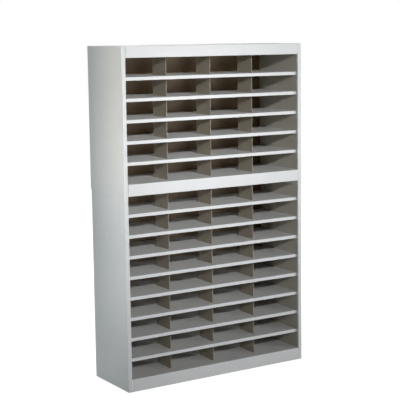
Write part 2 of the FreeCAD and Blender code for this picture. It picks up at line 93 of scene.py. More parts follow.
# Name, place, aim, power and its share, width and height, colour, spread in degrees
LAMPS = (
    ("key_lamp", (-1.10, -6.10, 3.00), (-0.15, -0.16, 1.18), "key_power", 1.0,
     (0.2, 0.2), PLAIN, 26.0),
    ("upper_edge_lamp", (-3.4, -0.16, 1.5), (-0.476, -0.16, 1.3), "edge_power", 1.0,
     EDGE_STRIP, WARM, NARROW_SPREAD),
    ("lower_edge_lamp", (-3.4, -0.16, 0.8), (-0.476, -0.16, 0.7), "edge_power", 0.75,
     EDGE_STRIP, PLAIN, NARROW_SPREAD),
    ("side_lamp", (-3.4, 0.3, 1.0), (-0.48, 0.0, 0.7), "side_power", 1.0,
     (1.6, 1.6), COOL, WIDE_SPREAD),
    ("fill_lamp", (3.2, -3.4, 1.2), (0.1, -0.16, 1.2), "fill_power", 1.0,
     (0.8, 0.8), PLAIN, WIDE_SPREAD),
    ("low_lamp", (2.2, -4.6, 0.5), (0.1, -0.16, 0.5), "low_power", 1.0,
     (0.6, 0.6), COOL, WIDE_SPREAD),
    ("rear_lamp", (1.2, 3.2, 4.2), (0.0, 0.16, 0.9), "rear_power", 1.0,
     (1.6, 1.6), PLAIN, WIDE_SPREAD),
    ("right_lamp", (3.4, 0.9, 1.4), (0.48, 0.0, 0.9), "side_power", 1.0,
     (1.4, 1.4), PLAIN, WIDE_SPREAD),
)


# Sizes and colours

class SorterStudio(bpy.types.PropertyGroup):
    """Camera, lamps and backdrop."""

    camera_place: bpy.props.FloatVectorProperty(
        name="Camera place", description="Where the camera stands", subtype="TRANSLATION",
        unit="LENGTH", default=(-2.8522, -4.6329, 1.5849))
    camera_turn: bpy.props.FloatProperty(
        name="Camera turn", description="Turn of the view to the right of straight ahead",
        subtype="ANGLE", default=math.radians(33.661))
    camera_tilt: bpy.props.FloatProperty(
        name="Camera tilt", description="Tilt of the view, up from level", subtype="ANGLE",
        default=math.radians(-7.430))
    camera_roll: bpy.props.FloatProperty(
        name="Camera roll", description="Roll of the camera about its view", subtype="ANGLE",
        default=math.radians(-0.545))
    camera_lens: bpy.props.FloatProperty(
        name="Lens", description="Focal length in millimetres, for a 36 mm wide picture",
        default=105.83, min=1.0)
    camera_shift: bpy.props.FloatVectorProperty(
        name="Shift", description="Shift of the lens, as shares of the picture's width", size=2,
        default=(-0.10, -0.04))
    key_power: bpy.props.FloatProperty(
        name="Key lamp", description="Power of the small lamp high up in front", unit="POWER",
        default=8.5, min=0.0)
    side_power: bpy.props.FloatProperty(
        name="Side lamps", description="Power of the lamp at each side", unit="POWER",
        default=29.0, min=0.0)
    edge_power: bpy.props.FloatProperty(
        name="Edge lamps", description="Power of the narrow lamps on the left side's front edge",
        unit="POWER", default=0.43, min=0.0)
    fill_power: bpy.props.FloatProperty(
        name="Fill lamp", description="Power of the soft lamp on the right in front", unit="POWER",
        default=56.0, min=0.0)
    low_power: bpy.props.FloatProperty(
        name="Low lamp", description="Power of the weak lamp near the floor on the right in front",
        unit="POWER", default=28.0, min=0.0)
    rear_power: bpy.props.FloatProperty(
        name="Rear lamp", description="Power of the lamp behind the sorter", unit="POWER",
        default=90.0, min=0.0)
    room_light: bpy.props.FloatProperty(
        name="Room light", description="Strength of the even light from all round",
        default=0.02, min=0.0)
    room_colour: bpy.props.FloatVectorProperty(
        name="Room colour", description="Colour of the even light", subtype="COLOR", size=4,
        default=(1.0, 0.80, 0.55, 1.0), min=0.0, max=1.0)
    floor_colour: bpy.props.FloatVectorProperty(
        name="Floor colour", description="Colour of the floor where the lamps reach it",
        subtype="COLOR", size=4, default=(0.60, 0.60, 0.60, 1.0), min=0.0, max=1.0)
    floor_glow: bpy.props.FloatProperty(
        name="Floor glow", description="White that the near floor adds in the picture alone",
        default=0.88, min=0.0)
    floor_near: bpy.props.FloatProperty(
        name="Floor near", description="Distance at which the floor starts to turn plain white",
        unit="LENGTH", default=1.2, min=0.0)
    floor_far: bpy.props.FloatProperty(
        name="Floor far", description="Distance from which the floor is plain white", unit="LENGTH",
        default=3.5, min=0.0)
    floor_width: bpy.props.FloatProperty(
        name="Floor width", description="Width of the square floor", unit="LENGTH",
        default=40.0, min=1.0)


class SorterFinish(bpy.types.PropertyGroup):
    """Colours and grain of the coat, the boards and the plating."""

    coat_colour: bpy.props.FloatVectorProperty(
        name="Coat colour", description="Light grey of the powder coat", subtype="COLOR", size=4,
        default=(0.64, 0.64, 0.63, 1.0), min=0.0, max=1.0)
    # Lighter edges stand partly for rubbed wear and partly for a painted highlight.
    rub_and_highlight_colour: bpy.props.FloatVectorProperty(
        name="Rubbed edge", description="Coat where it has worn thin along an edge",
        subtype="COLOR", size=4, default=(0.80, 0.80, 0.78, 1.0), min=0.0, max=1.0)
    coat_roughness: bpy.props.FloatProperty(
        name="Coat roughness", description="Roughness of the satin coat", subtype="FACTOR",
        default=0.46, min=0.0, max=1.0)
    peel_size: bpy.props.FloatProperty(
        name="Peel size", description="Width of one dimple of the coat's orange peel",
        unit="LENGTH", default=1.4 * MM, min=0.1 * MM)
    peel_depth: bpy.props.FloatProperty(
        name="Peel depth", description="Depth of the coat's orange peel", unit="LENGTH",
        default=0.012 * MM, min=0.0)
    # The rubbed edges of the coat are partly painted highlight.
    rub_and_highlight_width: bpy.props.FloatProperty(
        name="Rub width", description="Width of the rubbed edges of the coat", unit="LENGTH",
        default=1.2 * MM, min=0.0)
    board_face: bpy.props.FloatVectorProperty(
        name="Board face", description="Brown of the hardboard's smooth face", subtype="COLOR",
        size=4, default=(0.165, 0.100, 0.042, 1.0), min=0.0, max=1.0)
    board_rear: bpy.props.FloatVectorProperty(
        name="Board rear", description="Paler brown of the screened rear face", subtype="COLOR",
        size=4, default=(0.330, 0.225, 0.138, 1.0), min=0.0, max=1.0)
    fleck_colour: bpy.props.FloatVectorProperty(
        name="Flecks", description="Darkest fibres of the hardboard", subtype="COLOR", size=4,
        default=(0.095, 0.060, 0.034, 1.0), min=0.0, max=1.0)
    dust_colour: bpy.props.FloatVectorProperty(
        name="Dust", description="Fine dust on the decks", subtype="COLOR", size=4,
        default=(0.62, 0.60, 0.56, 1.0), min=0.0, max=1.0)
    screen_pitch: bpy.props.FloatProperty(
        name="Screen pitch", description="Spacing of the wire-screen print on the boards' rear",
        unit="LENGTH", default=1.9 * MM, min=0.2 * MM)
    print_depth: bpy.props.FloatProperty(
        name="Print depth", description="Depth of the wire-screen print", unit="LENGTH",
        default=0.25 * MM, min=0.0)
    fibre_depth: bpy.props.FloatProperty(
        name="Fibre depth", description="Height of the boards' fibres", unit="LENGTH",
        default=0.05 * MM, min=0.0)
    plating_colour: bpy.props.FloatVectorProperty(
        name="Plating", description="Bright zinc of the screws, bolts and nuts", subtype="COLOR",
        size=4, default=(0.64, 0.66, 0.69, 1.0), min=0.0, max=1.0)
    # The rubbed edges of the plating are partly painted highlight.
    plating_rub_and_highlight: bpy.props.FloatProperty(
        name="Plating rub", description="Width of the rubbed edges of the plating", unit="LENGTH",
        default=0.3 * MM, min=0.0)
    plating_grain: bpy.props.FloatProperty(
        name="Plating grain", description="Depth of the plating's grain", unit="LENGTH",
        default=0.006 * MM, min=0.0)


class SorterLid(bpy.types.PropertyGroup):
    """Sizes of the fold along the lid's rear edge."""

    sheet: bpy.props.FloatProperty(
        name="Sheet", description="Thickness of the lid's sheet", unit="LENGTH", default=0.9 * MM,
        min=0.1 * MM)
    fold_depth: bpy.props.FloatProperty(
        name="Fold depth", description="How far the fold reaches below the lid's upper face",
        unit="LENGTH", default=11.0 * MM, min=1.0 * MM)
    end_gap: bpy.props.FloatProperty(
        name="End gap", description="Distance from the fold to each end of the lid", unit="LENGTH",
        default=1.5 * MM, min=0.0)
    inset: bpy.props.FloatProperty(
        name="Inset", description="Distance from the fold's rear face to the lid's rear edge",
        unit="LENGTH", default=0.1 * MM, min=0.0)


class SorterFasteners(bpy.types.PropertyGroup):
    """Sizes of the details that the fasteners get."""

    sides: bpy.props.IntProperty(
        name="Sides", description="Facets round a head or a shank", default=32, min=8)
    thread_steps: bpy.props.IntProperty(
        name="Thread steps", description="Facets of one turn of a thread", default=16, min=6)
    head_width: bpy.props.FloatProperty(
        name="Head width", description="Width of a screw's head", unit="LENGTH", default=8.0 * MM,
        min=1.0 * MM)
    head_height: bpy.props.FloatProperty(
        name="Head height", description="Height of a screw's head", unit="LENGTH", default=1.6 * MM,
        min=0.2 * MM)
    screw_shank: bpy.props.FloatProperty(
        name="Screw shank", description="Width of a screw over its thread", unit="LENGTH",
        default=3.6 * MM, min=0.5 * MM)
    bolt_head_height: bpy.props.FloatProperty(
        name="Bolt head height", description="Height of a bolt's head", unit="LENGTH",
        default=2.4 * MM, min=0.2 * MM)
    bolt_shank: bpy.props.FloatProperty(
        name="Bolt shank", description="Width of a bolt over its thread", unit="LENGTH",
        default=3.5 * MM, min=0.5 * MM)
    screw_pitch: bpy.props.FloatProperty(
        name="Screw pitch", description="Rise of a screw's thread in one turn", unit="LENGTH",
        default=1.2 * MM, min=0.2 * MM)
    bolt_pitch: bpy.props.FloatProperty(
        name="Bolt pitch", description="Rise of a bolt's thread in one turn", unit="LENGTH",
        default=0.8 * MM, min=0.2 * MM)
    recess_reach: bpy.props.FloatProperty(
        name="Recess reach", description="Length of the cross recess's arms, tip to tip",
        unit="LENGTH", default=4.4 * MM, min=0.0)
    recess_width: bpy.props.FloatProperty(
        name="Recess width", description="Width of the cross recess's arms", unit="LENGTH",
        default=1.0 * MM, min=0.0)
    recess_depth: bpy.props.FloatProperty(
        name="Recess depth", description="Depth of the cross recess", unit="LENGTH",
        default=1.1 * MM, min=0.0)


# Node trees

def put(tree, kind, sockets=None, **settings):
    """Node of a tree, with its settings made and its sockets linked or given values."""
    node = tree.nodes.new(kind)
    for name, setting in settings.items():
        setattr(node, name, setting)
    for name, given in (sockets or {}).items():
        if isinstance(given, bpy.types.NodeSocket):
            tree.links.new(given, node.inputs[name])
        else:
            node.inputs[name].default_value = given
    return node


def reckon(tree, operation, first, second=0.0):
    """Output of a Math node."""
    return put(tree, "ShaderNodeMath", {0: first, 1: second}, operation=operation).outputs[0]


def blend_colours(tree, share, first, second):
    """Output of a colour Mix node, from the first colour to the second."""
    return put(tree, "ShaderNodeMix", {0: share, 6: first, 7: second}, data_type="RGBA").outputs[2]


def ramp(tree, value, low, high, to_low=0.0, to_high=1.0):
    """Output of a smooth Map Range node."""
    return put(tree, "ShaderNodeMapRange", {0: value, 1: low, 2: high, 3: to_low, 4: to_high},
               interpolation_type="SMOOTHSTEP").outputs[0]


def noise(tree, vector, scale, detail=2.0):
    """Value of a Noise Texture, around a half."""
    sockets = {"Vector": vector, "Scale": scale, "Detail": detail}
    return put(tree, "ShaderNodeTexNoise", sockets).outputs[0]


def stretch(tree, vector, factors):
    """Vector scaled differently along each axis."""
    return put(tree, "ShaderNodeMapping", {"Vector": vector, "Scale": factors}).outputs[0]


def new_group(name, inputs, outputs):
    """Empty node group with its sockets, each a name and a kind; also its inner ends."""
    group = bpy.data.node_groups.new(name, "ShaderNodeTree")
    for label, kind in inputs:
        group.interface.new_socket(label, in_out="INPUT", socket_type=f"NodeSocket{kind}")
    for label, kind in outputs:
        group.interface.new_socket(label, in_out="OUTPUT", socket_type=f"NodeSocket{kind}")
    given = group.nodes.new("NodeGroupInput").outputs
    return group, given, group.nodes.new("NodeGroupOutput").inputs


def lay_group(tree, group, sockets):
    """Outputs of a group node in a tree, with its sockets linked or given values."""
    return put(tree, "ShaderNodeGroup", sockets, node_tree=group).outputs


def object_place(tree):
    """Place on the piece, in metres."""
    return tree.nodes.new("ShaderNodeTexCoord").outputs["Object"]


def facing(tree, axis):
    """How much a face looks along an axis, from -1 to 1."""
    normal = tree.nodes.new("ShaderNodeNewGeometry").outputs["Normal"]
    return put(tree, "ShaderNodeSeparateXYZ", {0: normal}).outputs[axis]


# Shared effects

def peel_group():
    """Orange peel of a coat over the slow waves of the sheet, in metres, and patchy gloss."""
    tree, given, result = new_group(
        "orange_peel",
        [("Vector", "Vector"), ("Peel size", "Float"), ("Peel depth", "Float"),
         ("Wave depth", "Float")],
        [("Height", "Float"), ("Patches", "Float"), ("Mottle", "Float")])
    dimples = noise(tree, given["Vector"], reckon(tree, "DIVIDE", 1.0, given["Peel size"]), 1.5)
    waves = noise(tree, given["Vector"], 7.0, 1.0)
    peel = reckon(tree, "MULTIPLY", dimples, given["Peel depth"])
    swell = reckon(tree, "MULTIPLY", waves, given["Wave depth"])
    tree.links.new(reckon(tree, "ADD", peel, swell), result["Height"])
    tree.links.new(ramp(tree, noise(tree, given["Vector"], 14.0, 4.0), 0.3, 0.7), result["Patches"])
    tree.links.new(noise(tree, given["Vector"], 240.0, 3.0), result["Mottle"])
    return tree


def edge_group():
    """Rub along folds and cut edges, broken by noise, which lightens them partly as wear and partly
    as a painted highlight, and the normal of the softened edge.
    """
    tree, given, result = new_group("edge_rub_and_highlight", [("Vector", "Vector"), ("Width", "Float")],
                                    [("Rub", "Float"), ("Normal", "Vector")])
    soft = put(tree, "ShaderNodeBevel", {"Radius": given["Width"]}, samples=4).outputs["Normal"]
    true = tree.nodes.new("ShaderNodeNewGeometry").outputs["Normal"]
    flat = put(tree, "ShaderNodeVectorMath", {0: soft, 1: true}, operation="DOT_PRODUCT")
    gaps = ramp(tree, noise(tree, given["Vector"], 60.0, 4.0), 0.32, 0.62)
    tree.links.new(reckon(tree, "MULTIPLY", ramp(tree, flat.outputs["Value"], 0.985, 0.80), gaps),
                   result["Rub"])
    tree.links.new(soft, result["Normal"])
    return tree


def dust_group():
    """Dust that settles on faces which look up, in drifts."""
    tree, given, result = new_group("settled_dust", [("Vector", "Vector")], [("Dust", "Float")])
    upward = facing(tree, "Z")
    drifts = ramp(tree, noise(tree, given["Vector"], 22.0, 5.0), 0.35, 0.75)
    tree.links.new(reckon(tree, "MULTIPLY", ramp(tree, upward, 0.5, 1.0), drifts), result["Dust"])
    return tree


EFFECTS = {"orange_peel": peel_group, "edge_rub_and_highlight": edge_group, "settled_dust": dust_group}


def effect(tree, name, sockets):
    """Outputs of a shared effect, whose group is built the first time that it is asked for."""
    group = bpy.data.node_groups.get(name) or EFFECTS[name]()
    return lay_group(tree, group, sockets)


# Finishes

def new_finish(name):
    """New material, its tree, and the sockets of the Principled shader in it."""
    finish = bpy.data.materials.new(name)
    finish.use_nodes = True
    tree = finish.node_tree
    tree.nodes.clear()
    shader = tree.nodes.new("ShaderNodeBsdfPrincipled")
    output = tree.nodes.new("ShaderNodeOutputMaterial")
    tree.links.new(shader.outputs[0], output.inputs["Surface"])
    return finish, tree, shader.inputs


def tinge(tree, colour, mask, share, other):
    """Colour blended towards another by a share of a mask."""
    return blend_colours(tree, reckon(tree, "MULTIPLY", mask, share), colour, other)


def raise_surface(tree, shader, height, normal=None):
    """Bump a shader's normal by a height in metres, over a softened normal where there is one."""
    sockets = {"Distance": 1.0, "Height": height}
    if normal:
        sockets["Normal"] = normal
    tree.links.new(put(tree, "ShaderNodeBump", sockets).outputs[0], shader["Normal"])


def powder_coat(name, shade_tint=NO_TINT, wave_depth=SHEET_WAVE):
    """Light grey satin powder coat over sheet steel, its colour shifted by a tint, which on the
    liners and dividers is painted shade.
    """
    look = bpy.context.scene.sorter_finish
    finish, tree, shader = new_finish(name)
    place = object_place(tree)
    peel = effect(tree, "orange_peel", {"Vector": place, "Peel size": look.peel_size,
                                        "Peel depth": look.peel_depth, "Wave depth": wave_depth})
    edge = effect(tree, "edge_rub_and_highlight", {"Vector": place, "Width": look.rub_and_highlight_width})
    dust = effect(tree, "settled_dust", {"Vector": place})["Dust"]
    # The tint darkens and warms the coat; on the liners and dividers it is painted shade.
    coat = [share * part for share, part in zip(shade_tint, look.coat_colour)] + [1.0]
    deep = [0.93 * part for part in coat[:3]] + [1.0]
    colour = blend_colours(tree, ramp(tree, peel["Mottle"], 0.3, 0.7), deep, coat)
    colour = tinge(tree, colour, peel["Patches"], 0.35, deep)
    # Edges lightened, partly as rubbed wear and partly as painted highlight.
    colour = tinge(tree, colour, edge["Rub"], 0.5, look.rub_and_highlight_colour)
    colour = tinge(tree, colour, dust, 0.22, look.dust_colour)
    tree.links.new(colour, shader["Base Color"])
    gloss = ramp(tree, peel["Patches"], 0.0, 1.0,
                 look.coat_roughness - 0.02, look.coat_roughness + 0.03)
    dusty = reckon(tree, "ADD", gloss, reckon(tree, "MULTIPLY", dust, 0.06))
    rubbed = reckon(tree, "SUBTRACT", dusty, reckon(tree, "MULTIPLY", edge["Rub"], 0.12))
    tree.links.new(rubbed, shader["Roughness"])
    raise_surface(tree, shader, peel["Height"], edge["Normal"])
    shader["Specular IOR Level"].default_value = 0.3
    return finish


def hardboard():
    """Pressed fibre board: smooth and brown in front, paler and with a screen print behind."""
    look = bpy.context.scene.sorter_finish
    finish, tree, shader = new_finish("hardboard")
    place = object_place(tree)
    along = noise(tree, stretch(tree, place, (180.0, 700.0, 900.0)), 1.0, 3.0)
    across = noise(tree, stretch(tree, place, (900.0, 700.0, 180.0)), 1.0, 3.0)
    fibre = reckon(tree, "MAXIMUM", along, across)
    clumps = ramp(tree, noise(tree, place, 55.0, 6.0), 0.3, 0.75)
    behind = ramp(tree, facing(tree, "Y"), 0.4, 0.6)
    pits = reckon(tree, "MULTIPLY", screen_print(tree, place, look.screen_pitch), behind)
    colour = blend_colours(tree, behind, look.board_face, look.board_rear)
    dark = blend_colours(tree, behind, look.fleck_colour, look.board_face)
    colour = tinge(tree, colour, ramp(tree, fibre, 0.52, 0.74), 0.55, dark)
    colour = tinge(tree, colour, clumps, 0.14, dark)
    colour = tinge(tree, colour, pits, 0.4, dark)
    tree.links.new(colour, shader["Base Color"])
    rough = reckon(tree, "ADD", ramp(tree, clumps, 0.0, 1.0, 0.42, 0.52),
                   reckon(tree, "MULTIPLY", behind, 0.3))
    tree.links.new(rough, shader["Roughness"])
    height = reckon(tree, "ADD", reckon(tree, "MULTIPLY", pits, -look.print_depth),
                    reckon(tree, "MULTIPLY", fibre, look.fibre_depth))
    raise_surface(tree, shader, height)
    shader["Specular IOR Level"].default_value = 0.3
    return finish


def screen_print(tree, place, pitch):
    """Woven pattern of pits that a wire screen leaves in the rear of a board."""
    axes = put(tree, "ShaderNodeSeparateXYZ", {0: place}).outputs
    turns = [reckon(tree, "MULTIPLY", axes[axis], 2.0 * math.pi / pitch) for axis in ("X", "Z")]
    waves = [reckon(tree, "SINE", turn) for turn in turns]
    return ramp(tree, reckon(tree, "MULTIPLY", *waves), 0.0, 0.6)


def bright_zinc():
    """Bright zinc plate, made once for all fasteners: cool, lightly spotted, duller in patches."""
    if "bright_zinc" in bpy.data.materials:
        return bpy.data.materials["bright_zinc"]
    look = bpy.context.scene.sorter_finish
    finish, tree, shader = new_finish("bright_zinc")
    place = object_place(tree)
    edge = effect(tree, "edge_rub_and_highlight", {"Vector": place, "Width": look.plating_rub_and_highlight})
    blotches = ramp(tree, noise(tree, place, 420.0, 4.0), 0.32, 0.68)
    warm = [part * share for part, share in zip(look.plating_colour, (1.02, 0.98, 0.88))] + [1.0]
    colour = tinge(tree, look.plating_colour, blotches, 0.5, warm)
    # Edges lightened, partly as rubbed wear and partly as painted highlight.
    colour = tinge(tree, colour, edge["Rub"], 0.4, look.rub_and_highlight_colour)
    tree.links.new(colour, shader["Base Color"])
    tree.links.new(ramp(tree, blotches, 0.0, 1.0, 0.24, 0.38), shader["Roughness"])
    grain = reckon(tree, "MULTIPLY", noise(tree, place, 2600.0, 2.0), look.plating_grain)
    raise_surface(tree, shader, grain, edge["Normal"])
    shader["Metallic"].default_value = 1.0
    return finish


def coat_nodes(finish, names):
    """Give a finish to CAD nodes, in place of the one that they came with."""
    for name in names:
        for slot in nodes[name].material_slots:
            slot.material = finish


# Shaping by hand

def drop_selection():
    """Deselect every object."""
    bpy.ops.object.select_all(action="DESELECT")


def pick(*pieces):
    """Select these objects alone, the first of them active."""
    drop_selection()
    for piece in pieces:
        piece.select_set(True)
    bpy.context.view_layer.objects.active = pieces[0]


def edit(select="DESELECT"):
    """Open the active object's mesh for editing."""
    bpy.ops.object.mode_set(mode="EDIT")
    bpy.ops.mesh.select_all(action=select)


def close():
    """Leave the mesh."""
    bpy.ops.object.mode_set(mode="OBJECT")


def face_outwards():
    """Point every face of the open mesh outwards, and leave the mesh."""
    bpy.ops.mesh.select_all(action="SELECT")
    bpy.ops.mesh.normals_make_consistent(inside=False)
    close()


def merge_doubles(piece):
    """Make one of the corners of a piece that lie at the same place."""
    pick(piece)
    edit("SELECT")
    bpy.ops.mesh.remove_doubles(threshold=NEAR)
    close()


def apply_modifier(piece, kind, **settings):
    """Add a modifier with its settings and apply it."""
    modifier = piece.modifiers.new(kind.lower(), kind)
    for name, setting in settings.items():
        setattr(modifier, name, setting)
    pick(piece)
    bpy.ops.object.modifier_apply(modifier=modifier.name)


def turned(name, rings, sides):
    """Blank turned about Z: a disc drawn out through rings, each a radius at a height."""
    drop_selection()
    (radius, height), *others = rings
    bpy.ops.mesh.primitive_circle_add(vertices=sides, radius=radius, fill_type="NGON",
                                      location=(0, 0, height))
    blank = bpy.context.active_object
    blank.name = name
    bpy.ops.object.transform_apply(location=True, rotation=False, scale=False)
    edit("SELECT")
    for next_radius, next_height in others:
        rise = (0, 0, next_height - height)
        bpy.ops.mesh.extrude_region_move(TRANSFORM_OT_translate={"value": rise})
        grow = next_radius / radius
        bpy.ops.transform.resize(value=(grow, grow, 1.0), center_override=(0, 0, next_height))
        radius, height = next_radius, next_height
    face_outwards()
    return blank


def cut(piece, tool, operation="DIFFERENCE"):
    """Cut a piece by a tool, or keep what they share, and throw the tool away."""
    apply_modifier(piece, "BOOLEAN", operation=operation, object=tool, solver="EXACT")
    bpy.data.objects.remove(tool)


def cross_recess(head, mouth, sizes):
    """Sink a cross recess into a head whose face is at the mouth's height."""
    for turn in (0.0, math.pi / 2):
        drop_selection()
        bpy.ops.mesh.primitive_cube_add(size=1.0, location=(0, 0, mouth))
        bar = bpy.context.active_object
        bar.scale = (sizes.recess_reach, sizes.recess_width, 2.0 * sizes.recess_depth)
        bpy.ops.object.transform_apply(location=True, rotation=False, scale=True)
        edit()
        close()
        for face in bar.data.polygons:
            face.select = face.normal.z < -0.9
        bpy.ops.object.mode_set(mode="EDIT")
        bpy.ops.transform.resize(value=RECESS_FLOOR,
                                 center_override=(0, 0, mouth - sizes.recess_depth))
        bpy.ops.mesh.select_all(action="SELECT")
        bpy.ops.transform.rotate(value=turn, orient_axis="Z", center_override=(0, 0, mouth))
        close()
        cut(head, bar)


def thread(name, core, crest, pitch, foot, head, steps):
    """Thread about Z: a three-cornered ridge from core to crest, wound up from foot to head."""
    drop_selection()
    bpy.ops.mesh.primitive_circle_add(vertices=3, radius=1.0, fill_type="NGON", location=(0, 0, 0))
    ridge = bpy.context.active_object
    ridge.name = name
    half_width = 0.4 * pitch
    corners = [(core, foot), (crest, foot + half_width), (core, foot + 2.0 * half_width)]
    for vertex, (radius, height) in zip(ridge.data.vertices, corners):
        vertex.co = (radius, 0.0, height)
    turns = max(1, int((head - foot) / pitch) - 1)
    edit("SELECT")
    bpy.ops.mesh.delete(type="ONLY_FACE")
    close()
    apply_modifier(ridge, "SCREW", axis="Z", angle=2.0 * math.pi, screw_offset=pitch,
                   iterations=turns, steps=steps, render_steps=steps, use_merge_vertices=False,
                   use_smooth_shade=False)
    edit("SELECT")
    bpy.ops.mesh.fill_holes(sides=3)
    face_outwards()
    return ridge


def join(name, parts):
    """Join parts into one piece at the origin."""
    pick(*parts)
    bpy.ops.object.join()
    piece = bpy.context.active_object
    piece.name = name
    return piece


def copy_node(name, node):
    """Copy of a CAD node under a new name, with its doubles merged, to be worked on."""
    twin = bpy.data.objects.new(name, nodes[node].data.copy())
    bpy.context.scene.collection.objects.link(twin)
    merge_doubles(twin)
    return twin


def finish_piece(piece, finish):
    """Give a modelled piece its one material, and shade it smooth up to its folds."""
    piece.data.materials.clear()
    piece.data.materials.append(finish)
    pick(piece)
    bpy.ops.object.shade_smooth_by_angle(angle=SMOOTH_ANGLE)


def solids_of(node):
    """Lowest and highest corner of each separate solid of a CAD node."""
    spare = copy_node(node + "_spare", node)
    edit("SELECT")
    bpy.ops.mesh.separate(type="LOOSE")
    close()
    corners = []
    for part in list(bpy.context.selected_objects):
        box = [Vector(corner) for corner in part.bound_box]
        corners.append((Vector(map(min, *box)), Vector(map(max, *box))))
        bpy.data.objects.remove(part)
    return sorted(corners, key=lambda pair: tuple(pair[0]))


def set_copies(name, node, model, seats):
    """Copy a fastener to each seat, a matrix, as one zinc piece that stands for its CAD node."""
    copies = []
    for seat in seats:
        twin = bpy.data.objects.new(name, model.data.copy())
        twin.data.transform(seat)
        bpy.context.scene.collection.objects.link(twin)
        copies.append(twin)
    bpy.data.objects.remove(model)
    piece = join(name, copies)
    finish_piece(piece, bright_zinc())
    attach(piece, BODY)
    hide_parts(node)


# Fasteners

def sheet_screw(name, sizes, length):
    """Pan-head screw that points down, with the underside of its head at 0."""
    width, height, shank = sizes.head_width, sizes.head_height, sizes.screw_shank
    core, point = SCREW_CORE * shank, SCREW_POINT * shank - length
    rings = [(0.15 * shank, -length), (core, point), (core, -0.05 * MM), (shank / 2, 0.0),
             (width / 2, 0.0)]
    rings += [(radius * width, share * height) for radius, share in PAN_HEAD]
    blank = turned(name, rings, sizes.sides)
    cross_recess(blank, height, sizes)
    ridge = thread(name + "_thread", THREAD_ROOT * shank, shank / 2, sizes.screw_pitch, point,
                   -0.1 * MM, sizes.thread_steps)
    return join(name, [blank, ridge])


def hexagon_blank(name, across_corners, foot, head):
    """Hexagonal prism with its corners turned off at both ends."""
    blank = turned(name, [(across_corners / 2, foot), (across_corners / 2, head)], HEXAGON)
    clear, face, drop = 0.52 * across_corners, 0.44 * across_corners, 0.08 * across_corners
    rings = [(face, foot - NEAR), (clear, foot + drop), (clear, head - drop), (face, head + NEAR)]
    cut(blank, turned(name + "_lathe", rings, LATHE_SIDES), "INTERSECT")
    merge_doubles(blank)
    return blank


def hexagon_bolt(name, sizes, across_corners, length):
    """Bolt that points up, with the upper side of its head at 0."""
    shank = sizes.bolt_shank
    head = hexagon_blank(name, across_corners, -sizes.bolt_head_height, 0.0)
    core, thread_foot = BOLT_CORE * shank, 0.9 * MM
    rings = [(0.3 * shank, -0.2 * MM), (shank / 2, -0.1 * MM), (shank / 2, 0.4 * MM),
             (core, thread_foot), (core, length - 0.5 * MM), (0.6 * core, length)]
    rod = turned(name + "_shank", rings, sizes.sides)
    ridge = thread(name + "_thread", THREAD_ROOT * shank, shank / 2, sizes.bolt_pitch, thread_foot,
                   length - 0.3 * MM, sizes.thread_steps)
    return join(name, [head, rod, ridge])


def hexagon_nut(name, sizes, across_corners, height):
    """Nut with a countersunk bore, standing on 0."""
    nut = hexagon_blank(name, across_corners, 0.0, height)
    bore = sizes.bolt_shank + 0.1 * MM
    sink = 0.62 * bore
    rings = [(sink, -0.2 * MM), (sink, 0.1 * MM), (bore / 2, 0.4 * MM),
             (bore / 2, height - 0.4 * MM), (sink, height - 0.1 * MM), (sink, height + 0.2 * MM)]
    cut(nut, turned(name + "_drill", rings, sizes.sides))
    return nut


def seat(place, direction, turn):
    """Matrix that stands a fastener's +Z along a direction at a place, turned about itself."""
    aim = Vector((0, 0, 1)).rotation_difference(Vector(direction)).to_matrix().to_4x4()
    return Matrix.Translation(place) @ aim @ Matrix.Rotation(turn, 4, "Z")


def upright_seat(low, high, rise=0.0):
    """Matrix that moves a fastener to the middle of a box, at a height over its foot."""
    middle = (low + high) / 2
    return Matrix.Translation((middle.x, middle.y, low.z + rise))


# Pieces

class SorterOperator:
    """What every operator of this file shares."""

    bl_options = {"REGISTER", "UNDO"}


class SORTER_OT_side_walls(SorterOperator, bpy.types.Operator):
    """Coat the side shells, and the liners inside them in a darker, warmer coat as painted shade"""

    bl_idname = "sorter.side_walls"
    bl_label = "Side walls"

    def execute(self, context):
        sides = [f"{unit}_{side}" for unit in UNITS for side in ("left", "right")]
        coat_nodes(powder_coat("coat_shells", wave_depth=WIDE_WAVE),
                   [side + "_shell" for side in sides])
        # The liners' darker, warmer tint is painted shade.
        coat_nodes(powder_coat("coat_liners_painted_shade", LINER_PAINTED_SHADE), [side + "_liner" for side in sides])
        return {"FINISHED"}


class SORTER_OT_pans(SorterOperator, bpy.types.Operator):
    """Coat the base pans, the lid, the cap and the ceiling"""

    bl_idname = "sorter.pans"
    bl_label = "Pans, lid and cap"

    def execute(self, context):
        coat_nodes(powder_coat("coat_pans"),
                   ["lower_base_pan", "upper_base_pan", "lower_lid", "upper_cap", "upper_ceiling"])
        return {"FINISHED"}


class SORTER_OT_lid(SorterOperator, bpy.types.Operator):
    """Give the lid a fold along its rear edge, down over the slit above the lower back"""

    bl_idname = "sorter.lid"
    bl_label = "Lid"

    def execute(self, context):
        sizes = context.scene.sorter_lid
        low, high = (Vector(corner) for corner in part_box("lower_lid"))
        lid = copy_node("lower_lid_folded", "lower_lid")
        drop_selection()
        half_sheet = sizes.sheet / 2
        middle = (0.0, high.y - sizes.inset - half_sheet,
                  high.z - (half_sheet + sizes.fold_depth) / 2)
        bpy.ops.mesh.primitive_cube_add(size=1.0, location=middle)
        fold = bpy.context.active_object
        fold.scale = (high.x - low.x - 2.0 * sizes.end_gap, sizes.sheet,
                      sizes.fold_depth - half_sheet)
        bpy.ops.object.transform_apply(location=True, rotation=False, scale=True)
        cut(lid, fold, "UNION")
        finish_piece(lid, bpy.data.materials["coat_pans"])
        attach(lid, BODY)
        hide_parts("lower_lid")
        return {"FINISHED"}


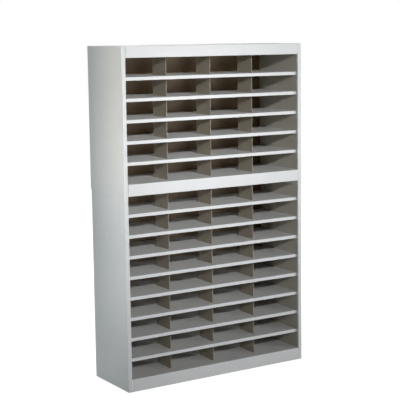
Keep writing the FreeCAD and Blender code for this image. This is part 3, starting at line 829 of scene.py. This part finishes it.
class SORTER_OT_shelves(SorterOperator, bpy.types.Operator):
    """Coat the shelves"""

    bl_idname = "sorter.shelves"
    bl_label = "Shelves"

    def execute(self, context):
        coat_nodes(powder_coat("coat_shelves"), [name for name in nodes if "_shelf_" in name])
        return {"FINISHED"}


class SORTER_OT_dividers(SorterOperator, bpy.types.Operator):
    """Coat the dividers in a darker, warmer coat as painted shade"""

    bl_idname = "sorter.dividers"
    bl_label = "Dividers"

    def execute(self, context):
        # The dividers' darker, warmer tint is painted shade.
        coat_nodes(powder_coat("coat_dividers", DIVIDER_PAINTED_SHADE, STIFF_WAVE),
                   [name for name in nodes if "_dividers_" in name])
        return {"FINISHED"}


class SORTER_OT_backs(SorterOperator, bpy.types.Operator):
    """Finish the hardboard backs"""

    bl_idname = "sorter.backs"
    bl_label = "Hardboard backs"

    def execute(self, context):
        coat_nodes(hardboard(), [unit + "_back" for unit in UNITS])
        return {"FINISHED"}


class SORTER_OT_back_screws(SorterOperator, bpy.types.Operator):
    """Model the screws that hold the backs"""

    bl_idname = "sorter.back_screws"
    bl_label = "Back screws"

    def execute(self, context):
        sizes = context.scene.sorter_fasteners
        for unit in UNITS:
            node = unit + "_back_screws"
            boxes = solids_of(node)
            length = boxes[0][1].y - boxes[0][0].y - sizes.head_height
            model = sheet_screw(node + "_model", sizes, length)
            seats = []
            for index, (low, high) in enumerate(boxes):
                place = (low + high) / 2
                place.y = high.y - sizes.head_height
                seats.append(seat(place, (0, 1, 0), SCREW_TURN * index))
            set_copies(unit + "_back_screw_set", node, model, seats)
        return {"FINISHED"}


class SORTER_OT_pan_screws(SorterOperator, bpy.types.Operator):
    """Model the screws that hold the ends of the pans"""

    bl_idname = "sorter.pan_screws"
    bl_label = "Pan screws"

    def execute(self, context):
        sizes = context.scene.sorter_fasteners
        for unit in UNITS:
            node = unit + "_pan_screws"
            boxes = solids_of(node)
            length = boxes[0][1].x - boxes[0][0].x - sizes.head_height
            model = sheet_screw(node + "_model", sizes, length)
            seats = []
            for index, (low, high) in enumerate(boxes):
                place = (low + high) / 2
                inwards = -math.copysign(1.0, place.x)
                place.x = high.x - sizes.head_height if inwards > 0 else low.x + sizes.head_height
                seats.append(seat(place, (inwards, 0, 0), SCREW_TURN * index))
            set_copies(unit + "_pan_screw_set", node, model, seats)
        return {"FINISHED"}


class SORTER_OT_joining_bolts(SorterOperator, bpy.types.Operator):
    """Model the bolts that join the two units"""

    bl_idname = "sorter.joining_bolts"
    bl_label = "Joining bolts"

    def execute(self, context):
        sizes, boxes = context.scene.sorter_fasteners, solids_of("joining_bolts")
        length = boxes[0][1].z - boxes[0][0].z - sizes.bolt_head_height
        model = hexagon_bolt("joining_bolt_model", sizes, boxes[0][1].y - boxes[0][0].y, length)
        seats = [upright_seat(low, high, sizes.bolt_head_height) for low, high in boxes]
        set_copies("joining_bolt_set", "joining_bolts", model, seats)
        return {"FINISHED"}


class SORTER_OT_joining_nuts(SorterOperator, bpy.types.Operator):
    """Model the nuts on the joining bolts"""

    bl_idname = "sorter.joining_nuts"
    bl_label = "Joining nuts"

    def execute(self, context):
        sizes, boxes = context.scene.sorter_fasteners, solids_of("joining_nuts")
        low, high = boxes[0]
        model = hexagon_nut("joining_nut_model", sizes, high.y - low.y, high.z - low.z)
        seats = [upright_seat(low, high) for low, high in boxes]
        set_copies("joining_nut_set", "joining_nuts", model, seats)
        return {"FINISHED"}


# Studio

def lamp(name, place, aim, power, size, colour, spread):
    """Area lamp at a place, turned to its aim; its spread is in degrees."""
    light = bpy.data.lights.new(name, "AREA")
    light.shape = "RECTANGLE"
    light.size, light.size_y = size
    light.energy = power
    light.color = colour
    light.spread = math.radians(spread)
    holder = bpy.data.objects.new(name, light)
    holder.location = place
    holder.rotation_euler = (Vector(aim) - Vector(place)).to_track_quat("-Z", "Y").to_euler()
    bpy.context.scene.collection.objects.link(holder)


def seen_directly(tree):
    """1 for rays of the camera, of gloss and of glass, and 0 for the rays that light the object."""
    path = tree.nodes.new("ShaderNodeLightPath").outputs
    mirrored = reckon(tree, "MAXIMUM", path["Is Glossy Ray"], path["Is Transmission Ray"])
    return reckon(tree, "MAXIMUM", path["Is Camera Ray"], mirrored)


def light_room(studio):
    """Even room light, with a white backdrop in the picture and in reflections."""
    world = bpy.data.worlds.new("studio_room")
    bpy.context.scene.world = world
    world.use_nodes = True
    tree = world.node_tree
    tree.nodes.clear()
    direct = seen_directly(tree)
    colour = blend_colours(tree, direct, studio.room_colour, WHITE)
    strength = ramp(tree, direct, 0.0, 1.0, studio.room_light, 1.0)
    light = put(tree, "ShaderNodeBackground", {"Color": colour, "Strength": strength})
    output = tree.nodes.new("ShaderNodeOutputWorld")
    tree.links.new(light.outputs[0], output.inputs["Surface"])


def lay_floor(studio):
    """Plain pale floor that shows white and keeps the sorter's shadow."""
    drop_selection()
    bpy.ops.mesh.primitive_plane_add(size=studio.floor_width, location=(0, 0, 0))
    floor = bpy.context.active_object
    floor.name = "studio_floor"
    finish = bpy.data.materials.new("studio_floor")
    finish.use_nodes = True
    tree = finish.node_tree
    tree.nodes.clear()
    matt = put(tree, "ShaderNodeBsdfDiffuse", {"Color": studio.floor_colour})
    reach = put(tree, "ShaderNodeVectorMath", {0: object_place(tree)}, operation="LENGTH")
    white = ramp(tree, reach.outputs["Value"], studio.floor_near, studio.floor_far,
                 studio.floor_glow, 1.0)
    strength = reckon(tree, "MULTIPLY", seen_directly(tree), white)
    glow = put(tree, "ShaderNodeEmission", {"Color": WHITE, "Strength": strength})
    both = put(tree, "ShaderNodeAddShader", {0: matt.outputs[0], 1: glow.outputs[0]})
    output = tree.nodes.new("ShaderNodeOutputMaterial")
    tree.links.new(both.outputs[0], output.inputs["Surface"])
    floor.data.materials.append(finish)


def stand_camera(studio):
    """Camera at the front left, a little above the sorter's middle."""
    camera = bpy.data.cameras.new("studio_camera")
    camera.sensor_width = SENSOR_WIDTH
    camera.lens = studio.camera_lens
    camera.shift_x, camera.shift_y = studio.camera_shift
    camera.clip_end = FAR_CLIP
    holder = bpy.data.objects.new("studio_camera", camera)
    holder.matrix_world = (Matrix.Translation(studio.camera_place)
                           @ Matrix.Rotation(-studio.camera_turn, 4, "Z")
                           @ Matrix.Rotation(math.pi / 2 + studio.camera_tilt, 4, "X")
                           @ Matrix.Rotation(studio.camera_roll, 4, "Z"))
    bpy.context.scene.collection.objects.link(holder)
    bpy.context.scene.camera = holder


class SORTER_OT_stage(SorterOperator, bpy.types.Operator):
    """Set the camera, the lamps, the room light and the floor"""

    bl_idname = "sorter.stage"
    bl_label = "Studio"

    def execute(self, context):
        studio = context.scene.sorter_studio
        stand_camera(studio)
        light_room(studio)
        lay_floor(studio)
        for name, place, aim, power, share, size, colour, spread in LAMPS:
            lamp(name, place, aim, share * getattr(studio, power), size, colour, spread)
        context.scene.view_settings.view_transform = "Standard"
        return {"FINISHED"}


# Panel and registration

PIECE_OPERATORS = (SORTER_OT_side_walls, SORTER_OT_pans, SORTER_OT_lid, SORTER_OT_shelves,
                   SORTER_OT_dividers, SORTER_OT_backs, SORTER_OT_back_screws,
                   SORTER_OT_pan_screws, SORTER_OT_joining_bolts, SORTER_OT_joining_nuts,
                   SORTER_OT_stage)
GROUPS = {"sorter_finish": SorterFinish, "sorter_lid": SorterLid,
          "sorter_fasteners": SorterFasteners, "sorter_studio": SorterStudio}


class SORTER_PT_finish(bpy.types.Panel):
    """Sorter finish"""

    bl_idname = "SORTER_PT_finish"
    bl_label = "Pigeonhole Sorter"
    bl_space_type = "VIEW_3D"
    bl_region_type = "UI"
    bl_category = "Sorter"

    def draw(self, context):
        column = self.layout.column()
        for operator in PIECE_OPERATORS:
            column.operator(operator.bl_idname)
        for group in (getattr(context.scene, name) for name in GROUPS):
            for name in group.__annotations__:
                column.prop(group, name)


def register():
    """Register the classes and hang the sizes and colours on the scene."""
    for kind in (*GROUPS.values(), *PIECE_OPERATORS, SORTER_PT_finish):
        bpy.utils.register_class(kind)
    for name, kind in GROUPS.items():
        setattr(bpy.types.Scene, name, bpy.props.PointerProperty(type=kind))


def unregister():
    """Undo what register did."""
    for name in GROUPS:
        delattr(bpy.types.Scene, name)
    for kind in (SORTER_PT_finish, *reversed(PIECE_OPERATORS), *reversed(GROUPS.values())):
        bpy.utils.unregister_class(kind)


def main():
    """Make every piece in turn."""
    register()
    bpy.ops.sorter.side_walls()
    bpy.ops.sorter.pans()
    bpy.ops.sorter.lid()
    bpy.ops.sorter.shelves()
    bpy.ops.sorter.dividers()
    bpy.ops.sorter.backs()
    bpy.ops.sorter.back_screws()
    bpy.ops.sorter.pan_screws()
    bpy.ops.sorter.joining_bolts()
    bpy.ops.sorter.joining_nuts()
    bpy.ops.sorter.stage()


if __name__ == "__main__":
    main()
